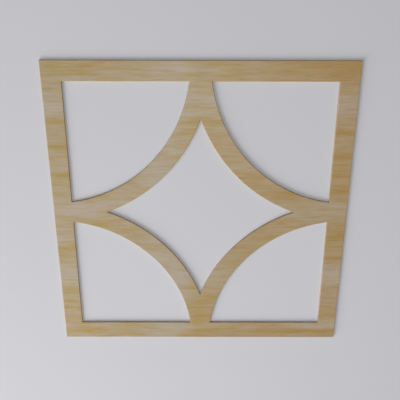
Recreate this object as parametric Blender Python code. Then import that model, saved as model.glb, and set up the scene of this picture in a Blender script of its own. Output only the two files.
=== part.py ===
"""Pierced wooden ceiling medallion, cut from one board.

The board is a square frame with four curved ribs. Each rib is a quarter ring about one outer corner of the
frame, so the ribs leave a four-pointed star opening in the middle and a fan-shaped opening in each corner.

Frame of reference: metres, +Z up. The back of the board, which is fixed flat overhead, lies in the plane z = 0,
and the show face looks down. The origin is the centre of the back.
"""

import math

import bmesh
import bpy

# Driving dimensions, in metres
SIDE = 0.508
THICKNESS = 0.004
STRIP_WIDTH = 0.0325

# Ribs and openings, worked out from them
HALF_SIDE = SIDE / 2
RIB_RADIUS = HALF_SIDE
FAN_RADIUS = RIB_RADIUS - STRIP_WIDTH / 2
STAR_RADIUS = RIB_RADIUS + STRIP_WIDTH / 2

# Smoothness of the arcs
ARC_SEGMENTS = 40

# Finish of the wood
WOOD_COLOR = (0.41, 0.33, 0.19, 1.0)
WOOD_ROUGHNESS = 0.55

CORNERS = [(-1, -1), (1, -1), (1, 1), (-1, 1)]


def clear_scene():
    for old in list(bpy.data.objects):
        bpy.data.objects.remove(old, do_unlink=True)


def make_wood():
    wood = bpy.data.materials.new("wood")
    wood.use_nodes = True
    shader = wood.node_tree.nodes["Principled BSDF"]
    shader.inputs["Base Color"].default_value = WOOD_COLOR
    shader.inputs["Roughness"].default_value = WOOD_ROUGHNESS
    shader.inputs["Metallic"].default_value = 0.0
    wood.diffuse_color = WOOD_COLOR
    return wood


def arc(radius, start, end):
    """Points on a circle about an outer corner of the board, measured from that corner inwards."""
    angles = [start + (end - start) * step / ARC_SEGMENTS for step in range(ARC_SEGMENTS + 1)]
    return [(radius * math.cos(angle), radius * math.sin(angle)) for angle in angles]


def place_at_corner(points, corner):
    """Turns distances measured inwards from one outer corner into places on the board."""
    side_x, side_y = corner
    return [(side_x * (HALF_SIDE - inward_x), side_y * (HALF_SIDE - inward_y)) for inward_x, inward_y in points]


def board_outline():
    return [(side_x * HALF_SIDE, side_y * HALF_SIDE) for side_x, side_y in CORNERS]


def fan_outline(corner):
    """The corner opening: square at the corner, where the frame's strips meet, and closed by a rib's arc."""
    start = math.asin(STRIP_WIDTH / FAN_RADIUS)
    rib_edge = arc(FAN_RADIUS, start, math.pi / 2 - start)
    return place_at_corner([(STRIP_WIDTH, STRIP_WIDTH)] + rib_edge, corner)


def star_outline():
    """The middle opening: four arcs that meet in points on the board's centre lines."""
    point_angle = math.acos(HALF_SIDE / STAR_RADIUS)
    outline = []
    for number, corner in enumerate(CORNERS):
        edge = place_at_corner(arc(STAR_RADIUS, point_angle, math.pi / 2 - point_angle), corner)
        if number % 2 == 0:
            edge.reverse()
        outline += edge[:-1]
    return outline


def add_outline(mesh, outline):
    corners = [mesh.verts.new((x, y, 0.0)) for x, y in outline]
    return [mesh.edges.new((a, b)) for a, b in zip(corners, corners[1:] + corners[:1])]


def make_panel(wood):
    """Fills the board's outline around its five openings, then pushes the sheet down to its thickness."""
    sheet = bmesh.new()
    edges = add_outline(sheet, board_outline()) + add_outline(sheet, star_outline())
    for corner in CORNERS:
        edges += add_outline(sheet, fan_outline(corner))
    bmesh.ops.triangle_fill(sheet, use_beauty=True, edges=edges, normal=(0.0, 0.0, 1.0))

    pushed = bmesh.ops.extrude_face_region(sheet, geom=sheet.faces[:], use_keep_orig=True)
    face_points = [item for item in pushed["geom"] if isinstance(item, bmesh.types.BMVert)]
    bmesh.ops.translate(sheet, vec=(0.0, 0.0, -THICKNESS), verts=face_points)
    bmesh.ops.recalc_face_normals(sheet, faces=sheet.faces[:])

    data = bpy.data.meshes.new("medallion_panel")
    sheet.to_mesh(data)
    sheet.free()
    data.materials.append(wood)
    panel = bpy.data.objects.new("medallion_panel", data)
    bpy.context.scene.collection.objects.link(panel)
    return panel


clear_scene()
make_panel(make_wood())
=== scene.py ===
import math

import bpy
import numpy as np
from mathutils import Matrix, Vector


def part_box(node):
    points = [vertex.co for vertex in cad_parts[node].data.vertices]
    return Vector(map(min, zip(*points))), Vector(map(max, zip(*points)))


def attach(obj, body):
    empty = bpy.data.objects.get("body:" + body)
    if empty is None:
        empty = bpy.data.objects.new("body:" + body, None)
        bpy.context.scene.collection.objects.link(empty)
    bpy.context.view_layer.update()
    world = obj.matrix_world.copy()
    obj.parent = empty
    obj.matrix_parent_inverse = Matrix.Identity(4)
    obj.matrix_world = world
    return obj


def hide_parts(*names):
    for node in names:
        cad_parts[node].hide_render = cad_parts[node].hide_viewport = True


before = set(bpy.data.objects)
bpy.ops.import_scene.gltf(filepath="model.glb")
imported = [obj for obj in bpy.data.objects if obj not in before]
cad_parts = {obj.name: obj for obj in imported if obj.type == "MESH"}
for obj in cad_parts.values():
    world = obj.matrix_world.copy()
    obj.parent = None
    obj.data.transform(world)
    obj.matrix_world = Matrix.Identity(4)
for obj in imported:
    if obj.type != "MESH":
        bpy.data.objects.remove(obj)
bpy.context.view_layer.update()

panelNode = "medallion_panel"
lowCorner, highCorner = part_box(panelNode)
sideLength = highCorner.x - lowCorner.x
thickness = highCorner.z - lowCorner.z

# The board: all lengths in metres
board = {
    "stripWidth": 0.0325,  # frame strips and ribs alike
    "ease": 0.0010,  # how far sanding has rounded the edges
    "easeSteps": 4,
    "wallSteps": 3,
    "sideSteps": 60,  # along half a side
    "neckSteps": 10,  # across a rib, and across the neck where two ribs meet the frame
    "neckRows": 14,  # along the neck
    "ribSteps": 40,  # along half a rib
    "stripSteps": 8,  # across a frame strip
}


def curve(first, last, steps):
    return np.linspace(first, last, steps + 1)


def ruled(nearEdge, farEdge, steps):
    # A ruled surface: straight lines from each point of one edge to the matching point of the other.
    t = curve(0.0, 1.0, steps)[None, :, None]
    return nearEdge[:, None, :] * (1 - t) + farEdge[:, None, :] * t


def points(u, v):
    return np.stack(np.broadcast_arrays(u, v), -1).astype(float)


def eighthEdges(inset):
    # The edges of one eighth of the board, measured inwards from an outer corner along two sides (u, v).
    # Every edge is drawn a little inside the wood, by inset: arcs about the corner keep their centre and
    # change radius, straight edges move sideways.
    half = sideLength / 2
    fanRadius = half - board["stripWidth"] / 2 + inset
    starRadius = half + board["stripWidth"] / 2 - inset
    stripEdge = board["stripWidth"] - inset
    fanEnd = math.sqrt(fanRadius**2 - stripEdge**2)
    fanStart = math.asin(stripEdge / fanRadius)
    starStart = math.acos(half / starRadius)
    starPoint = math.sqrt(starRadius**2 - half**2)
    middle = math.pi / 4
    neckAngle = curve(fanStart, starStart, board["neckRows"])
    ribAngle = curve(starStart, middle, board["ribSteps"])
    return {
        "outerLong": points(curve(inset, fanEnd, board["sideSteps"]), inset),
        "outerShort": points(curve(fanEnd, half, board["neckSteps"]), inset),
        "stripLong": points(curve(stripEdge, fanEnd, board["sideSteps"]), stripEdge),
        "stripShort": points(curve(fanEnd, half, board["neckSteps"]), stripEdge),
        "fanNeck": points(fanRadius * np.cos(neckAngle), fanRadius * np.sin(neckAngle)),
        "fanRib": points(fanRadius * np.cos(ribAngle), fanRadius * np.sin(ribAngle)),
        "neckMiddle": points(half, curve(stripEdge, starPoint, board["neckRows"])),
        "starRib": points(starRadius * np.cos(ribAngle), starRadius * np.sin(ribAngle)),
    }


def flatFace(height, facing):
    # The flat face of one eighth: four ruled surfaces between the eased edges, at one height.
    edges = eighthEdges(board["ease"])
    pairs = [
        ("outerLong", "stripLong", board["stripSteps"]),
        ("outerShort", "stripShort", board["stripSteps"]),
        ("fanNeck", "neckMiddle", board["neckSteps"]),
        ("fanRib", "starRib", board["neckSteps"]),
    ]
    for near, far, steps in pairs:
        plan = ruled(edges[near], edges[far], steps)
        place = np.concatenate([plan, np.full(plan.shape[:2] + (1,), height)], -1)
        normal = np.zeros_like(place)
        normal[..., 2] = facing
        yield place, normal


def easedWall():
    # The profile of a cut edge, from the show face round to the back: a quarter round, a straight wall and a
    # quarter round again. Gives how far each point lies inside the wood, its height, and its normal as
    # (out of the wood, up).
    ease = board["ease"]
    turn = curve(0.0, math.pi / 2, board["easeSteps"])
    wall = curve(-thickness + ease, -ease, board["wallSteps"])[1:-1]
    inset = np.concatenate([ease * (1 - np.sin(turn)), wall * 0, ease * (1 - np.sin(turn[::-1]))])
    height = np.concatenate([-thickness + ease * (1 - np.cos(turn)), wall, -ease * (1 - np.cos(turn[::-1]))])
    outward = np.concatenate([np.sin(turn), wall * 0 + 1, np.sin(turn[::-1])])
    upward = np.concatenate([-np.cos(turn), wall * 0, np.cos(turn[::-1])])
    return inset, height, outward, upward


def cutEdges():
    # Each cut edge of one eighth is the eased profile carried along the edge's line.
    inset, height, outward, upward = easedWall()
    rings = [eighthEdges(depth) for depth in inset]
    along = {
        "outerLong": lambda line: np.tile((0.0, -1.0), (len(line), 1)),
        "outerShort": lambda line: np.tile((0.0, -1.0), (len(line), 1)),
        "stripLong": lambda line: np.tile((0.0, 1.0), (len(line), 1)),
        "fanNeck": lambda line: -line / np.linalg.norm(line, axis=1, keepdims=True),
        "fanRib": lambda line: -line / np.linalg.norm(line, axis=1, keepdims=True),
        "starRib": lambda line: line / np.linalg.norm(line, axis=1, keepdims=True),
    }
    for name, outOf in along.items():
        plan = np.stack([ring[name] for ring in rings], 1)
        lift = np.broadcast_to(height[None, :, None], plan.shape[:2] + (1,))
        place = np.concatenate([plan, lift], -1)
        side = outOf(rings[0][name])[:, None, :] * outward[None, :, None]
        tilt = np.broadcast_to(upward[None, :, None], side.shape[:2] + (1,))
        yield place, np.concatenate([side, tilt], -1)


def gridFaces(rows, columns):
    index = np.arange(rows * columns).reshape(rows, columns)
    return np.stack([index[:-1, :-1], index[1:, :-1], index[1:, 1:], index[:-1, 1:]], -1).reshape(-1, 4)


def joinGrids(grids):
    # Puts grids of points into one list, with their quads, each turned to face along its own normals.
    places, normals, quads, count = [], [], [], 0
    for place, normal in grids:
        faces = gridFaces(*place.shape[:2])
        flat, flatNormal = place.reshape(-1, 3), normal.reshape(-1, 3)
        a, b, c, d = (flat[faces[:, k]] for k in range(4))
        facing = np.cross(c - a, d - b)
        turned = np.einsum("ij,ij->i", facing, flatNormal[faces].mean(1)) < 0
        faces[turned] = faces[turned][:, ::-1]
        places.append(flat)
        normals.append(flatNormal)
        quads.append(faces + count)
        count += len(flat)
    return np.concatenate(places), np.concatenate(normals), np.concatenate(quads)


def wholeBoard(place, normal, quads):
    # Eight copies of the eighth: each corner of the board, straight and mirrored in its diagonal.
    half = sideLength / 2
    places, normals, faces = [], [], []
    for sideX in (-1, 1):
        for sideY in (-1, 1):
            for swapped in (False, True):
                plan = place[:, 1::-1] if swapped else place[:, :2]
                flat = normal[:, 1::-1] if swapped else normal[:, :2]
                signs = np.array([sideX, sideY])
                mirrored = (sideX * sideY > 0) == swapped
                faces.append((quads[:, ::-1] if mirrored else quads) + len(places) * len(place))
                places.append(np.column_stack([signs * (half - plan), place[:, 2]]))
                normals.append(np.column_stack([-signs * flat, normal[:, 2]]))
    return np.concatenate(places), np.concatenate(normals), np.concatenate(faces)


def makeMesh(name, place, normal, quads):
    # Joins points that share a place to the micrometre, keeps each quad's own corner normals, and makes the
    # mesh. Its attribute cutEdge is 0 on the flat faces and rises round the eased edge to 1 on the upright
    # wall. Its attribute back is 1 on the back and falls round that edge to 0.
    rounded = np.round(place * 1e6).astype(np.int64)
    _, first, shared = np.unique(rounded, axis=0, return_index=True, return_inverse=True)
    shared = shared.reshape(-1)
    mesh = bpy.data.meshes.new(name)
    mesh.from_pydata(place[first].tolist(), [], shared[quads].tolist())
    mesh.polygons.foreach_set("use_smooth", np.ones(len(quads), bool))
    mesh.normals_split_custom_set(normal[quads.reshape(-1)].tolist())
    upward = normal[first, 2].astype(np.float32)
    for mask, values in (("cutEdge", 1.0 - np.abs(upward)), ("back", np.maximum(upward, 0.0))):
        mesh.attributes.new(mask, "FLOAT", "POINT").data.foreach_set("value", values)
    mesh.update()
    return mesh


def makePanel():
    grids = [*flatFace(-thickness, -1.0), *flatFace(0.0, 1.0), *cutEdges()]
    mesh = makeMesh("medallionBoard", *wholeBoard(*joinGrids(grids)))
    panel = bpy.data.objects.new("medallionBoard", mesh)
    bpy.context.scene.collection.objects.link(panel)
    return panel


# Shader helpers
def addNode(tree, kind, **values):
    node = tree.nodes.new(kind)
    for name, value in values.items():
        setattr(node, name, value)
    return node


def feed(tree, socket, source):
    if isinstance(source, bpy.types.NodeSocket):
        tree.links.new(source, socket)
    else:
        socket.default_value = source


def calculate(tree, operation, first, second=0.0, clamp=False):
    node = addNode(tree, "ShaderNodeMath", operation=operation, use_clamp=clamp)
    feed(tree, node.inputs[0], first)
    feed(tree, node.inputs[1], second)
    return node.outputs[0]


def remap(tree, value, fromLow, fromHigh, toLow=0.0, toHigh=1.0):
    node = addNode(tree, "ShaderNodeMapRange", interpolation_type="SMOOTHSTEP")
    for socket, number in zip(node.inputs, (value, fromLow, fromHigh, toLow, toHigh)):
        feed(tree, socket, number)
    return node.outputs["Result"]


def blendColors(tree, amount, first, second, kind="MIX"):
    node = addNode(tree, "ShaderNodeMix", data_type="RGBA", blend_type=kind)
    feed(tree, node.inputs["Factor"], amount)
    feed(tree, node.inputs["A"], first)
    feed(tree, node.inputs["B"], second)
    return node.outputs["Result"]


def stretchedNoise(tree, position, frequency, detail=2.0, roughness=0.5):
    # Noise whose frequency along the grain differs from that across it.
    scaled = addNode(tree, "ShaderNodeVectorMath", operation="MULTIPLY")
    feed(tree, scaled.inputs[0], position)
    scaled.inputs[1].default_value = frequency
    noise = addNode(tree, "ShaderNodeTexNoise")
    feed(tree, noise.inputs["Vector"], scaled.outputs[0])
    noise.inputs["Scale"].default_value = 1.0
    noise.inputs["Detail"].default_value = detail
    noise.inputs["Roughness"].default_value = roughness
    return noise.outputs["Fac"]


# The wood. Its tone runs from 0, pale, to 1, ochre. The streaks of one growth come again in each growth:
# every one has its distance across the grain from the growth's start and its half width, in shares of the
# board's side, and how much it darkens (or below nought pales) the tone on the left and on the right.
# Patches lie along the grain in the same way. Each noise has its frequencies in cycles per metre (along the
# grain, across it and through the board) and how much it moves the tone or, for sway and feather, the grain
# itself, in metres.
wood = {
    "growths": [(-0.725, -0.41), (-0.365, -0.05), (-0.005, 0.19), (0.237, 0.51)],  # start and end
    "softness": 1.6,  # how far streaks, patches and the like fade out, in half widths
    "streaks": [
        (0.000, 0.040, -0.42, -0.34),
        (0.057, 0.009, 0.26, 0.08),
        (0.095, 0.010, 0.04, 0.24),
        (0.138, 0.013, 0.40, 0.12),
        (0.170, 0.014, 0.10, 0.16),
        (0.212, 0.008, -0.20, 0.00),
        (0.234, 0.011, 0.30, 0.42),
        (0.290, 0.030, 0.00, 0.16),
    ],
    "bands": [  # streaks that come once: place across the board, then as above
        (-0.470, 0.020, 0.00, 0.26),
        (0.280, 0.200, 0.00, -0.16),
        (0.455, 0.022, 0.00, -0.45),
    ],
    "farthestStreak": -0.55,  # streaks that start further out than this are left out
    "middleStreaks": 0.45,  # how strong the streaks are mid-way along the grain, against its ends
    "middleToEnds": (0.20, 0.42),  # between which distances from the middle they grow to full strength
    "leftToRight": (-0.10, 0.34),  # where along the grain the left look turns to the right one
    "patches": [  # place, half width, strength
        (-0.270, 0.05, 0.06),
        (-0.120, 0.09, -0.26),
        (0.000, 0.05, 0.20),
    ],
    "chevron": (-0.270, 0.07, 0.004),  # where the grain bends aside, half width, and how far in metres
    "leftTone": 0.50,
    "rightTone": 0.70,
    "rightGrain": 0.65,  # how strong the noises below are on the right, against the left
    "sway": ((2.0, 5.0, 8.0), 0.008),
    "feather": ((22.0, 45.0, 60.0), 0.0008),
    "patch": ((7.0, 36.0, 36.0), 0.5),
    "streak": ((15.0, 85.0, 85.0), 1.5),
    "fleck": ((36.0, 150.0, 150.0), 0.5),
    "line": ((18.0, 240.0, 240.0), 1.1),
    "fibre": (40.0, 1300.0, 1300.0),
    "fibreContrast": (0.45, 0.75),  # the values of that noise where the fibre starts to show and is full
    "relief": (0.15, 0.0002),  # strength and depth of the fibre's relief
    "pale": (0.548, 0.462, 0.350, 1.0),
    "leftOchre": (0.495, 0.341, 0.107, 1.0),
    "rightOchre": (0.485, 0.308, 0.104, 1.0),
    "fibreColor": (0.84, 0.80, 0.74, 1.0),
    "shadedWallColor": (0.40, 0.29, 0.17, 1.0),  # painted shade: the cut wall is painted browner and darker than the face, standing in for the shade it lies in
    "shadedWallShare": 0.65,  # how much of the wall's colour that painted shade is
    "roughness": 0.42,
    "roughnessSpread": 0.10,
    "cutRoughness": 0.28,  # how much rougher the cut wall is than the finished face
    "arris": (0.30, 0.18, 1.0),  # where the painted highlight line lies on the cutEdge attribute, half width, strength
    "highlightLineColor": (1.10, 1.09, 1.06, 1.0),  # painted highlight: the eased arris is painted a little paler
    "highlightLineNoise": (60.0, 60.0, 60.0),
    "backColor": (0.50, 0.42, 0.30, 1.0),  # the back has no finish
    "backShare": 0.50,
    "backRoughness": 0.24,
    "sanding": (1100.0, 40.0, 40.0),  # coarse marks across the grain
    "sandingContrast": (0.45, 0.70),
    "sandingColor": (0.93, 0.92, 0.91, 1.0),
}


def moveAcross(tree, position, shift):
    move = addNode(tree, "ShaderNodeCombineXYZ")
    feed(tree, move.inputs["Y"], shift)
    moved = addNode(tree, "ShaderNodeVectorMath", operation="ADD")
    feed(tree, moved.inputs[0], position)
    feed(tree, moved.inputs[1], move.outputs[0])
    return moved.outputs[0]


def centredNoise(tree, position, frequency, amount, detail=2.0):
    # (noise - 0.5) * amount
    centred = calculate(tree, "SUBTRACT", stretchedNoise(tree, position, frequency, detail), 0.5)
    return calculate(tree, "MULTIPLY", centred, amount)


def bump(tree, value, place, halfWidth, height):
    # Rises smoothly to the height at the place and is back to nought somewhat beyond the half width.
    distance = calculate(tree, "ABSOLUTE", calculate(tree, "SUBTRACT", value, place))
    return remap(tree, distance, 0.0, wood["softness"] * halfWidth, height, 0.0)


def streakTone(tree, across, rightward):
    # The sum of the bands and of every growth's streaks, each with its own strength from left to right.
    streaks = list(wood["bands"])
    for start, end in wood["growths"]:
        grown = [(start + offset, *rest) for offset, *rest in wood["streaks"]]
        streaks += [streak for streak in grown if wood["farthestStreak"] < streak[0] < end]
    total = 0.0
    for place, halfWidth, left, right in streaks:
        strength = calculate(tree, "ADD", calculate(tree, "MULTIPLY", rightward, right - left), left)
        shape = bump(tree, across, place, halfWidth, 1.0)
        total = calculate(tree, "ADD", total, calculate(tree, "MULTIPLY", shape, strength))
    return total


def grainGroup():
    tree = bpy.data.node_groups.new("boardGrain", "ShaderNodeTree")
    tree.interface.new_socket("Position", in_out="INPUT", socket_type="NodeSocketVector")
    for name in ("Tone", "Rightward", "Fibre", "Height"):
        tree.interface.new_socket(name, in_out="OUTPUT", socket_type="NodeSocketFloat")
    position = addNode(tree, "NodeGroupInput").outputs["Position"]
    end = addNode(tree, "NodeGroupOutput")

    straight = addNode(tree, "ShaderNodeSeparateXYZ")
    feed(tree, straight.inputs[0], position)
    sideways = calculate(tree, "DIVIDE", straight.outputs["X"], sideLength)
    along = moveAcross(tree, position, bump(tree, sideways, *wood["chevron"]))
    along = moveAcross(tree, along, centredNoise(tree, position, *wood["sway"], 1.0))
    along = moveAcross(tree, along, centredNoise(tree, position, *wood["feather"]))
    bent = addNode(tree, "ShaderNodeSeparateXYZ")
    feed(tree, bent.inputs[0], along)
    across = calculate(tree, "DIVIDE", bent.outputs["Y"], sideLength)

    rightward = remap(tree, sideways, *wood["leftToRight"])
    tone = streakTone(tree, across, rightward)
    fromMiddle = calculate(tree, "ABSOLUTE", sideways)
    fade = remap(tree, fromMiddle, *wood["middleToEnds"], wood["middleStreaks"], 1.0)
    tone = calculate(tree, "MULTIPLY", tone, fade)
    ground = remap(tree, rightward, 0.0, 1.0, wood["leftTone"], wood["rightTone"])
    tone = calculate(tree, "ADD", tone, ground)
    for place, halfWidth, strength in wood["patches"]:
        tone = calculate(tree, "ADD", tone, bump(tree, sideways, place, halfWidth, strength))
    grain = 0.0
    for name in ("patch", "streak", "fleck", "line"):
        grain = calculate(tree, "ADD", grain, centredNoise(tree, along, *wood[name]))
    calm = remap(tree, rightward, 0.0, 1.0, 1.0, wood["rightGrain"])
    tone = calculate(tree, "ADD", tone, calculate(tree, "MULTIPLY", grain, calm))
    fibre = stretchedNoise(tree, along, wood["fibre"], 1.0)
    feed(tree, end.inputs["Tone"], calculate(tree, "ADD", tone, 0.0, clamp=True))
    feed(tree, end.inputs["Rightward"], rightward)
    feed(tree, end.inputs["Fibre"], remap(tree, fibre, *wood["fibreContrast"]))
    feed(tree, end.inputs["Height"], fibre)
    return tree


def makeWood():
    material = bpy.data.materials.new("satinWood")
    material.use_nodes = True
    tree = material.node_tree
    shader = tree.nodes["Principled BSDF"]
    coordinates = addNode(tree, "ShaderNodeTexCoord")
    grain = addNode(tree, "ShaderNodeGroup", node_tree=grainGroup())
    feed(tree, grain.inputs["Position"], coordinates.outputs["Object"])

    ochre = blendColors(tree, grain.outputs["Rightward"], wood["leftOchre"], wood["rightOchre"])
    color = blendColors(tree, grain.outputs["Tone"], wood["pale"], ochre)
    color = blendColors(tree, grain.outputs["Fibre"], color, wood["fibreColor"], "MULTIPLY")
    position = coordinates.outputs["Object"]
    edge = addNode(tree, "ShaderNodeAttribute", attribute_name="cutEdge").outputs["Fac"]
    back = addNode(tree, "ShaderNodeAttribute", attribute_name="back").outputs["Fac"]
    color = blendColors(tree, calculate(tree, "MULTIPLY", back, wood["backShare"]), color, wood["backColor"])
    sanding = stretchedNoise(tree, position, wood["sanding"])
    sanding = remap(tree, sanding, *wood["sandingContrast"])
    marks = calculate(tree, "MULTIPLY", sanding, back)
    color = blendColors(tree, marks, color, wood["sandingColor"], "MULTIPLY")
    # Painted shade: the cut walls are painted browner and darker than the face.
    cut = calculate(tree, "MULTIPLY", edge, wood["shadedWallShare"])
    color = blendColors(tree, cut, color, wood["shadedWallColor"])
    # Painted highlight: a paler line along the eased arris, broken up by noise.
    arris = bump(tree, edge, *wood["arris"])
    arris = calculate(tree, "MULTIPLY", arris, stretchedNoise(tree, position, wood["highlightLineNoise"]))
    color = blendColors(tree, arris, color, wood["highlightLineColor"], "MULTIPLY")
    feed(tree, shader.inputs["Base Color"], color)

    roughest = wood["roughness"] + wood["roughnessSpread"]
    rough = remap(tree, grain.outputs["Fibre"], 0.0, 1.0, wood["roughness"], roughest)
    rough = calculate(tree, "ADD", rough, calculate(tree, "MULTIPLY", edge, wood["cutRoughness"]))
    rough = calculate(tree, "ADD", rough, calculate(tree, "MULTIPLY", back, wood["backRoughness"]))
    feed(tree, shader.inputs["Roughness"], rough)
    relief = addNode(tree, "ShaderNodeBump")
    strength, depth = wood["relief"]
    relief.inputs["Strength"].default_value = strength
    relief.inputs["Distance"].default_value = depth
    feed(tree, relief.inputs["Height"], grain.outputs["Height"])
    feed(tree, shader.inputs["Normal"], relief.outputs["Normal"])
    return material


# The stage: a pale backdrop, a hair inside the board's back, which shows only from below, and a pale floor,
# a hair below the show face, which shows only from above. So the board is seen fixed up from one side and
# laid down from the other. The floor gives most of its light itself.
room = {
    "sheetSize": 200.0,
    "backdropHeight": -0.0001,
    "backdropColor": (0.75, 0.745, 0.78, 1.0),
    "floorHeight": -0.0003 - thickness,
    "floorColor": (0.12, 0.12, 0.121, 1.0),
    "floorGlow": 4.95,
    "paintRoughness": 0.9,
    "paintShine": 0.1,
    "horizon": (-0.030, -0.006),  # where the sky goes from the lower colour to the upper one
    "skyAbove": (0.66, 0.66, 0.67, 1.0),
    "skyBelow": (0.172, 0.172, 0.172, 1.0),
}


def oneSidedPaint(name, color, glow=0.0):
    # Matt paint on the side that a sheet faces, and nothing on its other side.
    material = bpy.data.materials.new(name)
    material.use_nodes = True
    tree = material.node_tree
    shader = tree.nodes["Principled BSDF"]
    shader.inputs["Base Color"].default_value = color
    shader.inputs["Roughness"].default_value = room["paintRoughness"]
    shader.inputs["Specular IOR Level"].default_value = room["paintShine"]
    shader.inputs["Emission Color"].default_value = color
    shader.inputs["Emission Strength"].default_value = glow
    either = addNode(tree, "ShaderNodeMixShader")
    feed(tree, either.inputs["Fac"], addNode(tree, "ShaderNodeNewGeometry").outputs["Backfacing"])
    feed(tree, either.inputs[1], shader.outputs["BSDF"])
    feed(tree, either.inputs[2], addNode(tree, "ShaderNodeBsdfTransparent").outputs["BSDF"])
    feed(tree, tree.nodes["Material Output"].inputs["Surface"], either.outputs["Shader"])
    return material


def makeSheet(name, height, facing, material):
    reach = room["sheetSize"] / 2
    corners = [(-reach, -reach), (reach, -reach), (reach, reach), (-reach, reach)]
    corners = [(x, y, height) for x, y in corners]
    mesh = bpy.data.meshes.new(name)
    mesh.from_pydata(corners, [], [(0, 1, 2, 3) if facing > 0 else (3, 2, 1, 0)])
    mesh.materials.append(material)
    sheet = bpy.data.objects.new(name, mesh)
    bpy.context.scene.collection.objects.link(sheet)
    return sheet


def makeSky():
    # One colour above the horizon and another below it.
    world = bpy.data.worlds.new("softSky")
    bpy.context.scene.world = world
    world.use_nodes = True
    tree = world.node_tree
    axes = addNode(tree, "ShaderNodeSeparateXYZ")
    feed(tree, axes.inputs[0], addNode(tree, "ShaderNodeTexCoord").outputs["Generated"])
    above = remap(tree, axes.outputs["Z"], *room["horizon"])
    sky = tree.nodes["Background"]
    feed(tree, sky.inputs["Color"], blendColors(tree, above, room["skyBelow"], room["skyAbove"]))


def makeRoom():
    makeSheet("backdrop", room["backdropHeight"], -1, oneSidedPaint("backdropPaint", room["backdropColor"]))
    floorPaint = oneSidedPaint("floorPaint", room["floorColor"], room["floorGlow"])
    floor = makeSheet("floor", room["floorHeight"], 1, floorPaint)
    floor.visible_diffuse = False
    floor.visible_glossy = False
    floor.visible_shadow = False
    makeSky()


# Lights: bearing from +X towards +Y and how far below the board's level, in degrees, then distance and size
# in metres and power in watts. Each points at the board's middle.
lights = {
    "windowLight": {"bearing": 138.0, "below": 22.0, "distance": 3.6, "size": 2.8, "power": 130.2},
    "fillLight": {"bearing": 0.0, "below": 88.0, "distance": 2.2, "size": 1.0, "power": 12.0},
    "topLight": {"bearing": -125.5, "below": -49.3, "distance": 10.0, "size": 6.0, "power": 360.0},
}


def lightPlace(light):
    # A point at the light's distance from the board's middle, in the direction of its two angles.
    bearing, below = math.radians(light["bearing"]), math.radians(light["below"])
    level = light["distance"] * math.cos(below)
    height = -light["distance"] * math.sin(below)
    return Vector((level * math.cos(bearing), level * math.sin(bearing), height))


def makeLights():
    for name, light in lights.items():
        place = lightPlace(light)
        data = bpy.data.lights.new(name, "AREA")
        data.shape = "DISK"
        data.size = light["size"]
        data.energy = light["power"]
        lamp = bpy.data.objects.new(name, data)
        lamp.visible_camera = False
        lamp.location = place
        lamp.rotation_euler = (-place).to_track_quat("-Z", "Y").to_euler()
        bpy.context.scene.collection.objects.link(lamp)


# The camera stands under the board's near side and looks up. Its place is in shares of the board's side,
# measured from the middle of the show face.
view = {
    "place": (-0.00341, -0.58597, -1.55936),
    "pitch": 70.856,  # above the horizon, in degrees
    "yaw": -0.071,
    "roll": -0.107,
    "lens": 43.868,
    "sensor": 36.0,
    "nearest": 0.01,
    "farthest": 400.0,
}


def makeCamera():
    data = bpy.data.cameras.new("camera")
    data.lens = view["lens"]
    data.sensor_width = view["sensor"]
    data.clip_start = view["nearest"]
    data.clip_end = view["farthest"]
    camera = bpy.data.objects.new("camera", data)
    pitch = Matrix.Rotation(math.radians(90.0 + view["pitch"]), 4, "X")
    yaw = Matrix.Rotation(math.radians(view["yaw"]), 4, "Y")
    roll = Matrix.Rotation(math.radians(-view["roll"]), 4, "Z")
    place = Vector(view["place"]) * sideLength + Vector((0.0, 0.0, -thickness))
    camera.matrix_world = Matrix.Translation(place) @ pitch @ yaw @ roll
    bpy.context.scene.collection.objects.link(camera)
    bpy.context.scene.camera = camera


bpy.context.scene.view_settings.view_transform = "Standard"
makeCamera()
makeRoom()
makeLights()
print("room, lights and camera made")

panel = makePanel()
panel.data.materials.append(makeWood())
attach(panel, "root")
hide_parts(panelNode)
print("board made with", len(panel.data.polygons), "faces")
